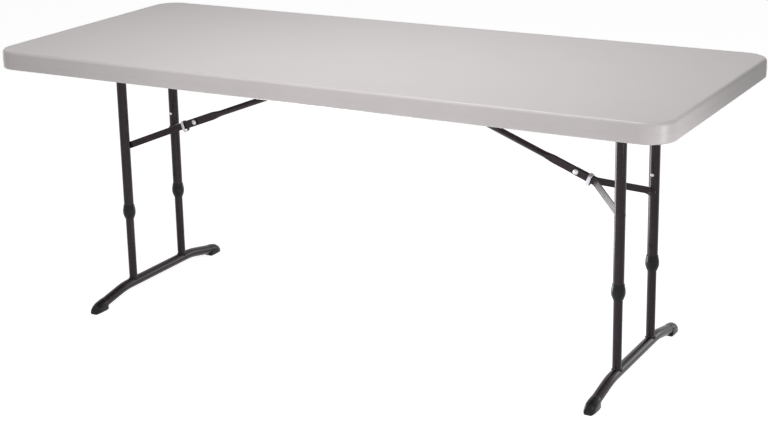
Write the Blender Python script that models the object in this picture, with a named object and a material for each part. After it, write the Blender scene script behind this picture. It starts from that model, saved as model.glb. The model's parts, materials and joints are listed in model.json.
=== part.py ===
"""Folding banquet table: a blow-moulded top on two folding leg frames of adjustable height.

Units are metres and +Z is up. +X runs along the table, and the origin is on the floor under its middle.
The table stands at its middle height setting, with both frames unfolded and their braces locked straight.
"""
import math

import bmesh
import bpy
from mathutils import Vector

# Overall size
LENGTH = 1.829
WIDTH = 0.762
HEIGHT = 0.726

# Clearances: between pieces that touch, and round a pin or tube that turns
GAP = 0.0003
RUNNING_GAP = 0.0005

# Moulded top
CORNER_RADIUS = 0.065
RIM_DEPTH = 0.048
RIM_WIDTH = 0.020
PANEL_DEPTH = 0.022
SKIN = 0.0026
TOP_EDGE_RADIUS = 0.009
RIM_EDGE_RADIUS = 0.004
VENT_RADIUS = 0.004
VENT_AT = (0.300, 0.180)

# Side rails and the screws that hold them
RAIL_PAST_PIVOT = 0.059
RAIL_EDGE_DISTANCE = 0.043
RAIL_SHEET = 0.0015
RAIL_BELOW_HOLE = 0.0025
RAIL_FLANGE = 0.018
RAIL_LIP = 0.008
RAIL_SCREW_PITCH = 0.480
RAIL_SCREWS = 3
SCREW_RADIUS = 0.0021
SCREW_LENGTH = 0.014
SCREW_HEAD_RADIUS = 0.0045
SCREW_HEAD_HEIGHT = 0.0028

# Centre bracket and the pins that the braces hang from
BRACKET_WIDTH = 0.080
BRACKET_SHEET = 0.002
BRACKET_SCREW_X = 0.030
BRACKET_SCREW_Y = 0.027
EAR_BELOW_PIN = 0.008
EAR_PAST_PIN = 0.013
BRACE_PIN_X = 0.030
BRACE_PIN_DROP = 0.016
PIN_RADIUS = 0.004
PIN_HEAD_RADIUS = 0.0062
PIN_HEAD_HEIGHT = 0.0022

# Upper legs and the cross tube that they fold on
LEG_INSET = 0.2025
LEG_SPREAD = 0.226
LEG_RADIUS = 0.0133
LEG_WALL = 0.0012
LEG_END_HEIGHT = 0.2334
PIVOT_RADIUS = 0.008
PIVOT_WALL = 0.0015
PIVOT_DROP = 0.020
PIVOT_OVERHANG = 0.008

# Inner legs, their snap clips and the height settings above and below the one shown
INNER_RADIUS = 0.0111
INNER_WALL = 0.0012
INNER_ABOVE_BUTTON = 0.025
BUTTON_HEIGHT = 0.4674
BUTTON_RADIUS = 0.0045
BUTTON_STAND = 0.004
BUTTON_ROUND = 0.002
TRAVEL_TO_HIGH = 0.178
TRAVEL_TO_LOW = 0.127
CLIP_WIDTH = 0.008
CLIP_SHEET = 0.0008
CLIP_LENGTH = 0.046

# Leg collars
COLLAR_RADIUS = 0.0172
COLLAR_ABOVE = 0.026
COLLAR_BELOW = 0.012
COLLAR_LIP = 0.0010
COLLAR_SHOULDER = 0.014
COLLAR_ROUND = 0.030

# Arched foot and its caps
FOOT_RADIUS = 0.0133
FOOT_WALL = 0.0015
FOOT_HEIGHT = 0.0364
FOOT_FLAT_MARGIN = 0.017
FOOT_BEND_RADIUS = 0.250
FOOT_SLOPE = math.radians(11)
FOOT_REACH = 0.262
CAP_REACH = 0.292
CAP_LENGTH = 0.048
CAP_WALL = 0.0013
CAP_CHAMFER = 0.003
CAP_TOE_LENGTH = 0.024
CAP_TOE_HEIGHT = 0.008
CAP_TOE_WIDTH = 0.017

# Folding brace
BRACE_RADIUS = 0.00795
BRACE_WALL = 0.0012
BRACE_END_MARGIN = 0.010
BRACE_FOLDED_ANGLE = math.radians(-1)
FLAT_THICKNESS = 0.006
FLAT_ABOVE_RIVET = 0.060
FLAT_BELOW_RIVET = 0.046
FLATTEN_LENGTH = 0.035

# Links from the brace to the two legs, and their rivets
LINK_BELOW_BUTTON = 0.044
LINK_BAR = 0.018
LINK_SHEET = 0.003
LINK_STEM = 0.052
LINK_TAB = 0.014
LINK_BEND_RADIUS = 0.010
RIVET_RADIUS = 0.004
RIVET_HEAD_RADIUS = 0.0070
RIVET_HEAD_HEIGHT = 0.0026

# Sliding lock ring on the brace
RING_FROM_RIVET = 0.038
RING_WIDTH = 0.009
RING_SHEET = 0.0024
RING_PLAY = 0.0052
RING_CORNER_RADIUS = 0.006

# Facets, and how sharp an edge is before it shows
TUBE_SIDES = 16
SMALL_SIDES = 12
CORNER_STEPS = 6
EDGE_STEPS = 3
SMOOTH_ANGLE = math.radians(35)

# Places that follow from the sizes
PANEL_UNDER = HEIGHT - PANEL_DEPTH
LEG_X = LENGTH / 2 - LEG_INSET
LEG_Y = LEG_SPREAD / 2
RAIL_Y = WIDTH / 2 - RAIL_EDGE_DISTANCE
RAIL_TOP = PANEL_UNDER - GAP
PIVOT = Vector((LEG_X - LEG_RADIUS - PIVOT_RADIUS - GAP, 0, PANEL_UNDER - PIVOT_DROP))
BRACE_PIN = Vector((BRACE_PIN_X, 0, PANEL_UNDER - BRACE_PIN_DROP))
RAIL_REACH = PIVOT.x + RAIL_PAST_PIVOT
LINK_END = Vector((LEG_X, 0, BUTTON_HEIGHT - LINK_BELOW_BUTTON))
EAR_INSIDE = BRACE_RADIUS + RUNNING_GAP
STEM_INSIDE = FLAT_THICKNESS / 2 + GAP
TAB_OUTSIDE = LEG_Y - LEG_RADIUS - GAP
FOOT_FLAT = LEG_Y + FOOT_FLAT_MARGIN
FLAT_HALF_HEIGHT = FLAT_THICKNESS / 2 + math.pi / 2 * (BRACE_RADIUS - FLAT_THICKNESS / 2)


def folded_link_end():
    """The link's end on the leg, once the leg has folded a quarter turn about its pivot."""
    arm = LINK_END - PIVOT
    return PIVOT + Vector((arm.z, 0, -arm.x))


def brace_length():
    """Pin to rivet, such that brace and links lie in one line when unfolded and close again when folded."""
    straight = (LINK_END - BRACE_PIN).length
    reach = folded_link_end() - BRACE_PIN
    along = reach.x * math.cos(BRACE_FOLDED_ANGLE) + reach.z * math.sin(BRACE_FOLDED_ANGLE)
    return (straight**2 - reach.length_squared) / (2 * (straight - along))


BRACE_LENGTH = brace_length()
BRACE_WAY = (LINK_END - BRACE_PIN).normalized()
BRACE_UP = Vector((-BRACE_WAY.z, 0, BRACE_WAY.x))
BRACE_RIVET = BRACE_PIN + BRACE_WAY * BRACE_LENGTH
LINK_LENGTH = (LINK_END - BRACE_RIVET).length

BODIES = {}
ALONG_Y = (math.pi / 2, 0, 0)
SIDES = {"right": 1, "left": -1}
ENDS = {"front": -1, "rear": 1}


def clear_scene():
    """Removes what the scene already holds."""
    for old in list(bpy.data.objects):
        bpy.data.objects.remove(old, do_unlink=True)


def make_material(name, colour, roughness, metallic=0.0):
    """A Principled material of one colour."""
    material = bpy.data.materials.new(name)
    material.use_nodes = True
    shader = material.node_tree.nodes["Principled BSDF"]
    shader.inputs["Base Color"].default_value = (*colour, 1)
    shader.inputs["Roughness"].default_value = roughness
    shader.inputs["Metallic"].default_value = metallic
    return material


def make_materials():
    """The table's finishes."""
    return {
        "moulded": make_material("moulded_plastic", (0.60, 0.58, 0.575), 0.50),
        "painted": make_material("painted_steel", (0.030, 0.025, 0.026), 0.28),
        "zinc": make_material("zinc_plate", (0.62, 0.62, 0.64), 0.34, 1.0),
        "black": make_material("black_plastic", (0.012, 0.012, 0.013), 0.45),
        "spring": make_material("spring_steel", (0.50, 0.50, 0.52), 0.25, 1.0),
    }


def add_body(name, at=(0, 0, 0), parent=None):
    """An empty at a moving body's joint, which carries the body's pieces."""
    empty = bpy.data.objects.new(name, None)
    bpy.context.scene.collection.objects.link(empty)
    at = Vector(at)
    BODIES[name] = (empty, at)
    empty.location = at
    if parent:
        empty.parent, parent_at = BODIES[parent]
        empty.location = at - parent_at


def add_piece(name, mesh, finish, body, at=(0, 0, 0), turn=(0, 0, 0)):
    """One named piece on a body, at a place in the table's own frame."""
    piece = bpy.data.objects.new(name, mesh)
    bpy.context.scene.collection.objects.link(piece)
    if finish and not mesh.materials:
        mesh.materials.append(FINISHES[finish])
    carrier, carrier_at = BODIES[body]
    piece.parent = carrier
    piece.location = Vector(at) - carrier_at
    piece.rotation_euler = turn
    return piece


def combine(piece, helper, operation="DIFFERENCE"):
    """Cuts a helper from a piece, or joins it on."""
    helper.hide_render = True
    helper.display_type = "WIRE"
    modifier = piece.modifiers.new(operation.title(), "BOOLEAN")
    modifier.operation = operation
    modifier.solver = "EXACT"
    modifier.object = helper


def finish_mesh(name, bm, hollow_faces=()):
    """Turns the faces out, and a cavity's faces in, and smooths all but the sharp edges."""
    bmesh.ops.recalc_face_normals(bm, faces=bm.faces)
    bmesh.ops.reverse_faces(bm, faces=list(hollow_faces))
    mesh = bpy.data.meshes.new(name)
    bm.to_mesh(mesh)
    bm.free()
    mesh.shade_smooth()
    mesh.set_sharp_from_angle(angle=SMOOTH_ANGLE)
    return mesh


def loft(bm, loops, cyclic=False):
    """Joins loops of points with faces, then closes the ends or joins the last loop to the first."""
    rows = [[bm.verts.new(point) for point in loop] for loop in loops]
    pairs = list(zip(rows, rows[1:]))
    faces = []
    if cyclic:
        pairs.append((rows[-1], rows[0]))
    else:
        faces += [bm.faces.new(rows[0]), bm.faces.new(rows[-1])]
    for low, high in pairs:
        for k, corner in enumerate(low):
            after = (k + 1) % len(low)
            faces.append(bm.faces.new((corner, low[after], high[after], high[k])))
    return faces


def lofted(name, loops, cyclic=False):
    """A mesh of one loft."""
    bm = bmesh.new()
    loft(bm, loops, cyclic)
    return finish_mesh(name, bm)


def circle(radius, sides, at=(0, 0, 0), across=(1, 0, 0), up=(0, 1, 0)):
    """Points round a circle in the plane of two directions."""
    turns = [2 * math.pi * k / sides for k in range(sides)]
    across, up, at = Vector(across), Vector(up), Vector(at)
    return [at + across * (radius * math.cos(a)) + up * (radius * math.sin(a)) for a in turns]


def turned(name, profile, sides=SMALL_SIDES, cyclic=False):
    """A mesh turned round Z from pairs of radius and height."""
    return lofted(name, [circle(r, sides, (0, 0, z)) for r, z in profile], cyclic)


def open_tube(name, low, high, radius, wall):
    """A straight tube along Z, open at both ends."""
    inside = radius - wall
    profile = [(radius, low), (radius, high), (inside, high), (inside, low)]
    return turned(name, profile, TUBE_SIDES, cyclic=True)


def drill(piece, radius, half_length, body, at, turn=(0, 0, 0)):
    """Drills a round hole through a piece, along Z unless it is turned."""
    name = f"{piece.name}_drill_{len(piece.modifiers) + 1}"
    mesh = turned(name, [(radius, -half_length), (radius, half_length)])
    combine(piece, add_piece(name, mesh, None, body, at, turn))


def rounded_corner(before, corner, after, radius):
    """Points of a soft bend at a corner between two straight runs."""
    to_before, to_after = (before - corner).normalized(), (after - corner).normalized()
    reach = radius / math.tan(to_before.angle(to_after) / 2)
    start, end = corner + to_before * reach, corner + to_after * reach
    steps = [k / EDGE_STEPS for k in range(EDGE_STEPS + 1)]
    return [start * (1 - t) ** 2 + corner * (2 * t * (1 - t)) + end * t**2 for t in steps]


def rounded_rectangle(half_x, half_y, radius, steps):
    """Points round a rectangle with round corners."""
    points = []
    for quarter, (sx, sy) in enumerate(((1, 1), (-1, 1), (-1, -1), (1, -1))):
        for step in range(steps + 1):
            a = math.pi / 2 * (quarter + step / steps)
            x = sx * (half_x - radius) + radius * math.cos(a)
            y = sy * (half_y - radius) + radius * math.sin(a)
            points.append((x, y))
    return points


def rivet_dome(base, radius, height, way):
    """Pairs of radius and height from the rim of a low round head to near its crown."""
    turns = [math.pi / 2 * k / EDGE_STEPS for k in range(EDGE_STEPS)]
    return [(radius * math.cos(a), base + way * height * math.sin(a)) for a in turns]


def riveted_pin(name, radius, half_grip, head_radius, head_height):
    """A pin along Z with a round head on each end."""
    low = rivet_dome(-half_grip, head_radius, head_height, -1)[::-1]
    shank = [(radius, -half_grip), (radius, half_grip)]
    return turned(name, low + shank + rivet_dome(half_grip, head_radius, head_height, 1))


def top_loop(inset, z):
    """The top's outline, drawn in by an inset, at a height."""
    outline = rounded_rectangle(
        LENGTH / 2 - inset, WIDTH / 2 - inset, CORNER_RADIUS - inset, CORNER_STEPS)
    return [Vector((x, y, z)) for x, y in outline]


def rim_arc(inset, z, radius, start):
    """A quarter round in the rim's section, as pairs of inset and height, turning down and in."""
    turns = [start - math.pi / 2 * step / EDGE_STEPS for step in range(EDGE_STEPS + 1)]
    return [(inset - radius * math.cos(a), z + radius * math.sin(a)) for a in turns]


def top_mesh():
    """The hollow moulded shell, with its height measured from the table's surface."""
    low = RIM_EDGE_RADIUS - RIM_DEPTH
    outside = rim_arc(TOP_EDGE_RADIUS, -TOP_EDGE_RADIUS, TOP_EDGE_RADIUS, math.pi / 2)
    outside += rim_arc(RIM_EDGE_RADIUS, low, RIM_EDGE_RADIUS, 0)
    outside += rim_arc(RIM_WIDTH - RIM_EDGE_RADIUS, low, RIM_EDGE_RADIUS, -math.pi / 2)
    outside.append((RIM_WIDTH, -PANEL_DEPTH))
    inside = [
        (TOP_EDGE_RADIUS, -SKIN),
        (SKIN, -TOP_EDGE_RADIUS),
        (SKIN, SKIN - RIM_DEPTH),
        (RIM_WIDTH - SKIN, SKIN - RIM_DEPTH),
        (RIM_WIDTH - SKIN, SKIN - PANEL_DEPTH),
    ]
    bm = bmesh.new()
    loft(bm, [top_loop(inset, z) for inset, z in outside])
    cavity = loft(bm, [top_loop(inset, z) for inset, z in inside])
    return finish_mesh("table_top", bm, cavity)


def screw_places():
    """Each screw's name and its place on the top's underside."""
    places = {}
    for end, ey in ENDS.items():
        for k in range(RAIL_SCREWS):
            x = (k - (RAIL_SCREWS - 1) / 2) * RAIL_SCREW_PITCH
            y = ey * (RAIL_Y + (RAIL_SHEET + RAIL_FLANGE) / 2)
            places[f"rail_screw_{end}_{k + 1}"] = (x, y, RAIL_SHEET)
        for side, sx in SIDES.items():
            place = (sx * BRACKET_SCREW_X, ey * BRACKET_SCREW_Y, BRACKET_SHEET)
            places[f"bracket_screw_{end}_{side}"] = place
    return places


def screw_mesh(name, sheet):
    """A pan-head screw along Z, its head under a sheet whose upper face is at zero height."""
    seat = -sheet - GAP
    head = rivet_dome(seat, SCREW_HEAD_RADIUS, SCREW_HEAD_HEIGHT, -1)[::-1]
    return turned(name, head + [(SCREW_RADIUS, seat), (SCREW_RADIUS, seat + SCREW_LENGTH)])


def build_top():
    """The moulded top, its vent, and the screws that hold the rails and the bracket to it."""
    top = add_piece("table_top", top_mesh(), "moulded", "table", (0, 0, HEIGHT))
    drill(top, VENT_RADIUS, 2 * SKIN, "table", (*VENT_AT, PANEL_UNDER))
    for name, (x, y, sheet) in screw_places().items():
        drill(top, SCREW_RADIUS + GAP, 2 * SKIN, "table", (x, y, PANEL_UNDER))
        add_piece(name, screw_mesh(name, sheet), "zinc", "table", (x, y, RAIL_TOP))


def drill_for_screws(piece, start):
    """Drills a sheet under the top for the screws whose names start so."""
    for name, (x, y, sheet) in screw_places().items():
        if name.startswith(start):
            drill(piece, SCREW_RADIUS + GAP, 2 * sheet, "table", (x, y, RAIL_TOP))


def build_rail(end, ey):
    """A folded sheet rail with a screw flange, and the holes that the cross tubes turn in."""
    name = f"side_rail_{end}"
    low = -(PIVOT_DROP - GAP + PIVOT_RADIUS + RUNNING_GAP + RAIL_BELOW_HOLE)
    section = [
        (0, 0),
        (RAIL_FLANGE, 0),
        (RAIL_FLANGE, -RAIL_SHEET),
        (RAIL_SHEET, -RAIL_SHEET),
        (RAIL_SHEET, low + RAIL_SHEET),
        (RAIL_LIP, low + RAIL_SHEET),
        (RAIL_LIP, low),
        (0, low),
    ]
    ends = (-RAIL_REACH, RAIL_REACH)
    mesh = lofted(name, [[Vector((x, ey * y, z)) for y, z in section] for x in ends])
    rail = add_piece(name, mesh, "painted", "table", (0, ey * RAIL_Y, RAIL_TOP))
    drill_for_screws(rail, f"rail_screw_{end}")
    for sx in SIDES.values():
        at = (sx * PIVOT.x, ey * RAIL_Y, PIVOT.z)
        drill(rail, PIVOT_RADIUS + RUNNING_GAP, 2 * RAIL_LIP, "table", at, ALONG_Y)


def build_bracket():
    """The centre bracket, a folded channel with two ears, and the pins through them."""
    half = BRACKET_WIDTH / 2
    ear_outside = EAR_INSIDE + BRACKET_SHEET
    low = -(BRACE_PIN_DROP - GAP + EAR_BELOW_PIN)
    right = [
        (EAR_INSIDE, -BRACKET_SHEET),
        (EAR_INSIDE, low),
        (ear_outside, low),
        (ear_outside, -BRACKET_SHEET),
        (half, -BRACKET_SHEET),
        (half, 0),
    ]
    section = right + [(-y, z) for y, z in reversed(right)]
    reach = BRACE_PIN_X + EAR_PAST_PIN
    loops = [[Vector((x, y, z)) for y, z in section] for x in (-reach, reach)]
    mesh = lofted("centre_bracket", loops)
    bracket = add_piece("centre_bracket", mesh, "painted", "table", (0, 0, RAIL_TOP))
    drill_for_screws(bracket, "bracket_screw")
    for side, sx in SIDES.items():
        at = (sx * BRACE_PIN.x, 0, BRACE_PIN.z)
        drill(bracket, PIN_RADIUS + GAP, 2 * ear_outside, "table", at, ALONG_Y)
        name = f"brace_pin_{side}"
        pin = riveted_pin(name, PIN_RADIUS, ear_outside + GAP, PIN_HEAD_RADIUS, PIN_HEAD_HEIGHT)
        add_piece(name, pin, "zinc", "table", at, ALONG_Y)


def build_upper_leg(side, sx, end, ey):
    """One upper leg with its three button holes, and the collar on its lower end."""
    body = f"leg_frame_{side}"
    name = f"upper_leg_{end}_{side}"
    at = Vector((sx * LEG_X, ey * LEG_Y, 0))
    mesh = open_tube(name, LEG_END_HEIGHT, PANEL_UNDER - GAP, LEG_RADIUS, LEG_WALL)
    leg = add_piece(name, mesh, "painted", body, at)
    for travel in (0, TRAVEL_TO_LOW, -TRAVEL_TO_HIGH):
        hole = at + Vector((0, -ey * LEG_RADIUS, BUTTON_HEIGHT + travel))
        drill(leg, BUTTON_RADIUS + RUNNING_GAP, LEG_RADIUS / 2, body, hole, ALONG_Y)
    name = f"leg_collar_{end}_{side}"
    add_piece(name, collar_mesh(name), "black", body, at + Vector((0, 0, LEG_END_HEIGHT)))


def collar_mesh(name):
    """A barrel-shaped collar round the upper leg's end, with a lip that guides the inner leg."""
    bore = LEG_RADIUS + GAP
    guide = INNER_RADIUS + RUNNING_GAP
    low = Vector((guide + COLLAR_LIP, -COLLAR_BELOW))
    high = Vector((bore + COLLAR_LIP, COLLAR_ABOVE))
    belly = Vector((COLLAR_RADIUS, 0))
    shoulder = Vector((COLLAR_RADIUS, COLLAR_ABOVE - COLLAR_SHOULDER))
    profile = [low]
    profile += rounded_corner(low, belly, shoulder, COLLAR_ROUND)
    profile += rounded_corner(belly, shoulder, high, COLLAR_ROUND)
    profile += [high, (bore, COLLAR_ABOVE), (bore, -GAP), (guide, -GAP), (guide, -COLLAR_BELOW)]
    return turned(name, profile, TUBE_SIDES, cyclic=True)


def foot_stations(reach):
    """Half of the foot's route: distance from the middle, height and slope."""
    stations = []
    for step in range(EDGE_STEPS + 1):
        slope = FOOT_SLOPE * step / EDGE_STEPS
        y = FOOT_FLAT + FOOT_BEND_RADIUS * math.sin(slope)
        stations.append((y, FOOT_HEIGHT - FOOT_BEND_RADIUS * (1 - math.cos(slope)), slope))
    bend_y, bend_z, slope = stations[-1]
    stations.append((reach, bend_z - (reach - bend_y) * math.tan(slope), slope))
    return stations


def foot_loops(radius, reach):
    """Circles along the whole foot, from the front end to the rear one."""
    half = foot_stations(reach)
    route = [(-y, z, -slope) for y, z, slope in reversed(half)] + half
    loops = []
    for y, z, slope in route:
        up = (0, math.sin(slope), math.cos(slope))
        loops.append(circle(radius, TUBE_SIDES, (0, y, z), (1, 0, 0), up))
    return loops


def build_foot(side, sx):
    """The arched foot tube and the caps on its two ends."""
    body = f"inner_frame_{side}"
    at = (sx * LEG_X, 0, 0)
    inside = foot_loops(FOOT_RADIUS - FOOT_WALL, FOOT_REACH)[::-1]
    mesh = lofted(f"foot_{side}", foot_loops(FOOT_RADIUS, FOOT_REACH) + inside, cyclic=True)
    add_piece(f"foot_{side}", mesh, "painted", body, at)
    for end, ey in ENDS.items():
        name = f"foot_cap_{end}_{side}"
        cap = add_piece(name, cap_mesh(name, ey), "black", body, at)
        core = lofted(f"{name}_core", foot_loops(FOOT_RADIUS + GAP, FOOT_REACH + GAP))
        combine(cap, add_piece(f"{name}_core", core, None, body, at))


def cap_mesh(name, ey):
    """A hoof-shaped cap, with a flat sole, a back on the foot tube's slope and a toe that rounds down."""
    _, tip_z, slope = foot_stations(CAP_REACH)[-1]
    half_width = FOOT_RADIUS + GAP + CAP_WALL
    stations = [(CAP_REACH - CAP_LENGTH, 1)]
    for step in range(EDGE_STEPS + 1):
        a = math.pi / 2 * step / EDGE_STEPS
        stations.append((CAP_REACH - CAP_TOE_LENGTH * (1 - math.sin(a)), math.cos(a)))
    loops = []
    for y, fullness in stations:
        middle = tip_z + (CAP_REACH - y) * math.tan(slope)
        top = middle + half_width
        rise = (CAP_TOE_HEIGHT + (top - CAP_TOE_HEIGHT) * fullness) / top
        spread = (CAP_TOE_WIDTH + (2 * half_width - CAP_TOE_WIDTH) * fullness) / (2 * half_width)
        arch = circle(half_width, TUBE_SIDES)[:TUBE_SIDES // 2 + 1]
        section = [(half_width, CAP_CHAMFER)]
        section += [(point.x, middle + point.y) for point in arch]
        section.append((-half_width, CAP_CHAMFER))
        section += [(CAP_CHAMFER - half_width, 0), (half_width - CAP_CHAMFER, 0)]
        loops.append([Vector((spread * x, ey * y, rise * z)) for x, z in section])
    return lofted(name, loops)


def build_inner_leg(side, sx, end, ey):
    """One inner leg, coped to sit on the foot, and the spring clip inside it."""
    body = f"inner_frame_{side}"
    name = f"inner_leg_{end}_{side}"
    at = Vector((sx * LEG_X, ey * LEG_Y, 0))
    mesh = open_tube(name, FOOT_HEIGHT, BUTTON_HEIGHT + INNER_ABOVE_BUTTON, INNER_RADIUS, INNER_WALL)
    leg = add_piece(name, mesh, "painted", body, at)
    hole = at + Vector((0, -ey * INNER_RADIUS, BUTTON_HEIGHT))
    drill(leg, BUTTON_RADIUS + RUNNING_GAP, INNER_RADIUS / 2, body, hole, ALONG_Y)
    core = lofted(f"{name}_cope", foot_loops(FOOT_RADIUS + GAP, FOOT_REACH))
    combine(leg, add_piece(f"{name}_cope", core, None, body, (at.x, 0, 0)))
    build_clip(side, end, ey, at + Vector((0, 0, BUTTON_HEIGHT)))


def build_clip(side, end, ey, at):
    """A hairpin spring inside the inner leg, with the button that shows through both tubes."""
    body = f"clip_{end}_{side}"
    add_body(body, at, f"inner_frame_{side}")
    name = f"snap_clip_{end}_{side}"
    bore = INNER_RADIUS - INNER_WALL
    run = math.sqrt(bore**2 - (CLIP_WIDTH / 2) ** 2) - RUNNING_GAP - CLIP_SHEET / 2
    tip = LEG_RADIUS + BUTTON_STAND
    crown = rivet_dome(tip - BUTTON_ROUND, BUTTON_RADIUS, BUTTON_ROUND, 1)
    profile = [(BUTTON_RADIUS, run - CLIP_SHEET)] + crown
    button = add_piece(name, turned(name, profile), "spring", body, at, (ey * math.pi / 2, 0, 0))
    turns = [math.pi * k / SMALL_SIDES for k in range(SMALL_SIDES + 1)]
    bend_z = run - CLIP_LENGTH
    route = [(run, CLIP_WIDTH, 0)]
    route += [(run * math.cos(a), bend_z - run * math.sin(a), a) for a in turns]
    route.append((-run, -CLIP_WIDTH, math.pi))
    loops = []
    for v, z, a in route:
        loop = []
        for x, out in ((-1, -1), (1, -1), (1, 1), (-1, 1)):
            shift = out * CLIP_SHEET / 2
            y = -ey * (v + shift * math.cos(a))
            loop.append(Vector((x * CLIP_WIDTH / 2, y, z - shift * math.sin(a))))
        loops.append(loop)
    hairpin = add_piece(f"{name}_hairpin", lofted(f"{name}_hairpin", loops), None, body, at)
    combine(button, hairpin, "UNION")


def build_leg_frame(side, sx):
    """A folding frame: its cross tube, upper legs, and the inner frame that slides in them."""
    body = f"leg_frame_{side}"
    pivot = Vector((sx * PIVOT.x, 0, PIVOT.z))
    add_body(body, pivot, "table")
    add_body(f"inner_frame_{side}", (sx * LEG_X, 0, LEG_END_HEIGHT), body)
    reach = RAIL_Y + RAIL_SHEET + PIVOT_OVERHANG
    mesh = open_tube(f"pivot_tube_{side}", -reach, reach, PIVOT_RADIUS, PIVOT_WALL)
    add_piece(f"pivot_tube_{side}", mesh, "painted", body, pivot, ALONG_Y)
    build_foot(side, sx)
    for end, ey in ENDS.items():
        build_upper_leg(side, sx, end, ey)
        build_inner_leg(side, sx, end, ey)


def brace_section(along, half_thickness, radius, way, up):
    """Points round the brace tube where it is pressed flat to a thickness."""
    rise = math.pi / 2 * (radius - half_thickness)
    points = []
    for k in range(SMALL_SIDES):
        a = 2 * math.pi * (k + 0.5) / SMALL_SIDES
        height = half_thickness * math.sin(a) + math.copysign(rise, math.sin(a))
        points.append(way * along + up * height + Vector((0, half_thickness * math.cos(a), 0)))
    return points


def brace_mesh(name, way, up):
    """The brace tube from its open end at the pin to its flat end past the rivet."""
    start = -BRACE_END_MARGIN
    flat_from = BRACE_LENGTH - FLAT_ABOVE_RIVET
    round_to = flat_from - FLATTEN_LENGTH
    bore = BRACE_RADIUS - BRACE_WALL
    loops = [brace_section(along, bore, bore, way, up) for along in (round_to, start)]
    loops.append(brace_section(start, BRACE_RADIUS, BRACE_RADIUS, way, up))
    for step in range(EDGE_STEPS + 1):
        share = step / EDGE_STEPS
        ease = share * share * (3 - 2 * share)
        half = BRACE_RADIUS + (FLAT_THICKNESS / 2 - BRACE_RADIUS) * ease
        loops.append(brace_section(round_to + FLATTEN_LENGTH * share, half, BRACE_RADIUS, way, up))
    end = BRACE_LENGTH + FLAT_BELOW_RIVET
    loops.append(brace_section(end, FLAT_THICKNESS / 2, BRACE_RADIUS, way, up))
    return lofted(name, loops)


def link_mesh(name, ey, way, up):
    """A flat link bar: a stem beside the brace, a run out to the leg and a tab along it."""
    radius = LINK_BAR / 2
    stem_y = STEM_INSIDE + LINK_SHEET / 2
    tab_y = TAB_OUTSIDE - LINK_SHEET / 2
    start, finish = Vector((0, stem_y)), Vector((LINK_LENGTH, tab_y))
    fork, turn = Vector((LINK_STEM, stem_y)), Vector((LINK_LENGTH - LINK_TAB, tab_y))
    route = rounded_corner(start, fork, turn, LINK_BEND_RADIUS)
    route += rounded_corner(fork, turn, finish, LINK_BEND_RADIUS)
    turns = [math.pi / 2 * k / EDGE_STEPS for k in range(EDGE_STEPS)]
    ends = [(radius * math.sin(a), radius * math.cos(a)) for a in turns]
    stations = [(Vector((-past, stem_y)), half) for past, half in reversed(ends)]
    stations += [(point, radius) for point in route]
    stations += [(Vector((LINK_LENGTH + past, tab_y)), half) for past, half in ends]
    places = [place for place, _ in stations]
    loops = []
    for k, (place, half) in enumerate(stations):
        run = places[min(k + 1, len(places) - 1)] - places[max(k - 1, 0)]
        across = Vector((-run.y, run.x)).normalized() * (LINK_SHEET / 2)
        loop = []
        for out, rise in ((-1, -1), (1, -1), (1, 1), (-1, 1)):
            point = place + across * out
            loop.append(way * point.x + up * (rise * half) + Vector((0, ey * point.y, 0)))
        loops.append(loop)
    return lofted(name, loops)


def build_link(side, end, ey, way, up):
    """One link bar on the brace rivet, and the rivet at its other end."""
    body = f"link_pair_{side}"
    rivet_at = BODIES[body][1]
    name = f"link_{end}_{side}"
    link = add_piece(name, link_mesh(name, ey, way, up), "painted", body, rivet_at)
    hole = rivet_at + Vector((0, ey * STEM_INSIDE, 0))
    drill(link, RIVET_RADIUS + RUNNING_GAP, 2 * LINK_SHEET, body, hole, ALONG_Y)
    tab_at = rivet_at + way * LINK_LENGTH + Vector((0, ey * TAB_OUTSIDE, 0))
    drill(link, RIVET_RADIUS + GAP, 2 * LINK_SHEET, body, tab_at, ALONG_Y)
    name = f"link_rivet_{end}_{side}"
    seat = -LINK_SHEET - GAP
    head = rivet_dome(seat, RIVET_HEAD_RADIUS, RIVET_HEAD_HEIGHT, -1)[::-1]
    mesh = turned(name, head + [(RIVET_RADIUS, seat), (RIVET_RADIUS, 0)])
    add_piece(name, mesh, "zinc", body, tab_at, (-ey * math.pi / 2, 0, 0))


def ring_mesh(name, way, up):
    """A closed oval band that hangs on the brace's flat end."""
    half_width = BRACE_RADIUS + RUNNING_GAP
    high = FLAT_HALF_HEIGHT + GAP
    low = -FLAT_HALF_HEIGHT - RING_PLAY
    middle = up * ((high + low) / 2)
    half_height = (high - low) / 2
    edge = RING_WIDTH / 2
    soft = RING_SHEET / EDGE_STEPS
    outer = [(soft, edge), (RING_SHEET - soft, edge), (RING_SHEET, edge - soft)]
    half_band = [(0, edge - soft)] + outer
    band = half_band + [(out, -along) for out, along in reversed(half_band)]
    loops = []
    for out, along in band:
        outline = rounded_rectangle(
            half_width + out, half_height + out, RING_CORNER_RADIUS + out, EDGE_STEPS)
        loops.append([middle + way * along + Vector((0, y, 0)) + up * h for y, h in outline])
    return lofted(name, loops, cyclic=True)


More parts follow.
